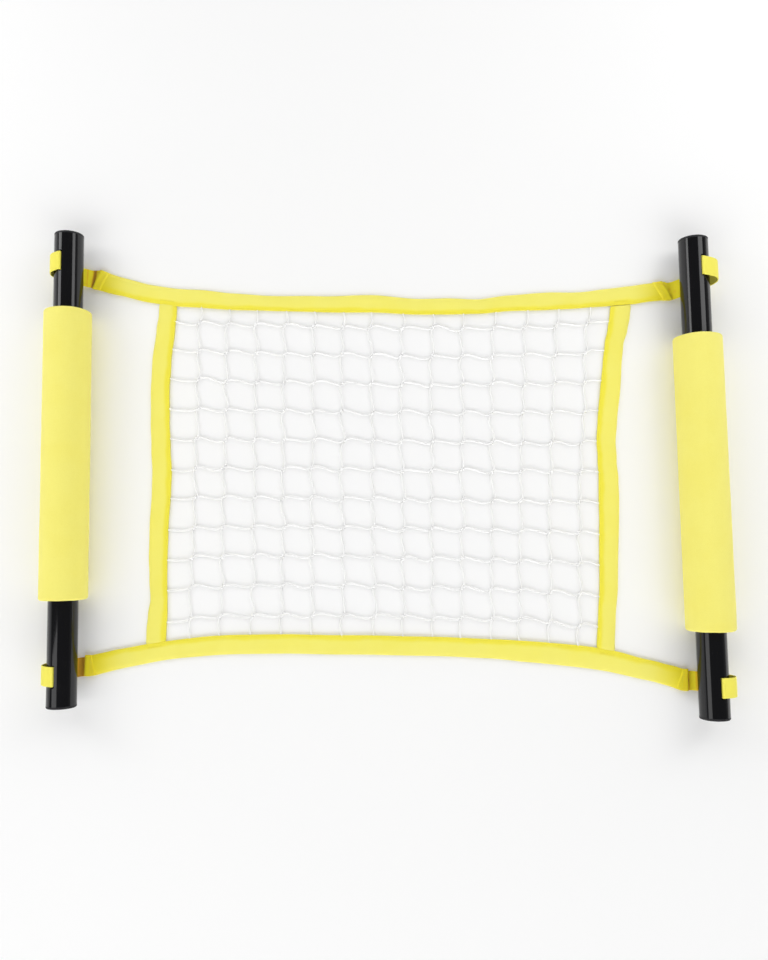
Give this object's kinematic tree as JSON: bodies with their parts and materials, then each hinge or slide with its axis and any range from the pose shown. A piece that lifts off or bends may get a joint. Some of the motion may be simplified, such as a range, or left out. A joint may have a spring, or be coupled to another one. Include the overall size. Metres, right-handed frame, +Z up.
{
  "type": "toss net on hand poles",
  "caption": "Flat square-mesh net bound with webbing, strapped at its corners to two round hand poles with foam grips.",
  "frame": {"origin": "on the ground, in the middle of the object's bounding box", "axes": "+Z up from the ground, +X from the left pole to the right pole, +Y along the poles from the net's bottom tape to its top tape"},
  "size_m": [0.714, 0.516, 0.05],
  "materials": {
    "tube": "satin",
    "cap": "matte",
    "foam": "matte",
    "webbing": "matte",
    "stop": "matte",
    "cord": "matte"
  },
  "bodies": {
    "net_left": {"net_left": "cord", "top_tape_left": "webbing", "bottom_tape_left": "webbing", "left_side_tape": "webbing", "left_upper_strap_root": "webbing", "left_lower_strap_root": "webbing"},
    "net_right": {"net_right": "cord", "top_tape_right": "webbing", "bottom_tape_right": "webbing", "right_side_tape": "webbing", "right_upper_strap_root": "webbing", "right_lower_strap_root": "webbing"},
    "left_pole": {"left_tube": "tube", "left_upper_cap": "cap", "left_lower_cap": "cap", "left_upper_strap": "webbing", "left_lower_strap": "webbing", "left_upper_stop": "stop", "left_lower_stop": "stop"},
    "right_pole": {"right_tube": "tube", "right_upper_cap": "cap", "right_lower_cap": "cap", "right_upper_strap": "webbing", "right_lower_strap": "webbing", "right_upper_stop": "stop", "right_lower_stop": "stop"},
    "left_grip": {"left_grip": "foam"},
    "right_grip": {"right_grip": "foam"}
  },
  "joints": [
    {"name": "net_fold", "type": "hinge", "parent": "net_left", "child": "net_right", "pos_m": [0, 0, 0.0034], "axis": [0, -1, 0], "range_deg": [0, 163]},
    {"name": "left_pole_turn", "type": "hinge", "parent": "net_left", "child": "left_pole", "pos_m": [-0.332, 0.0095, 0.025], "axis": [0, 1, 0], "range_deg": [-40, 90]},
    {"name": "right_pole_turn", "type": "hinge", "parent": "net_right", "child": "right_pole", "pos_m": [0.332, -0.0095, 0.025], "axis": [0, -1, 0], "range_deg": [-40, 90]},
    {"name": "left_grip_slide", "type": "slide", "parent": "left_pole", "child": "left_grip", "axis": [0, 1, 0], "range_m": [-0.061, 0.032]},
    {"name": "right_grip_slide", "type": "slide", "parent": "right_pole", "child": "right_grip", "axis": [0, 1, 0], "range_m": [-0.042, 0.047]}
  ]
}
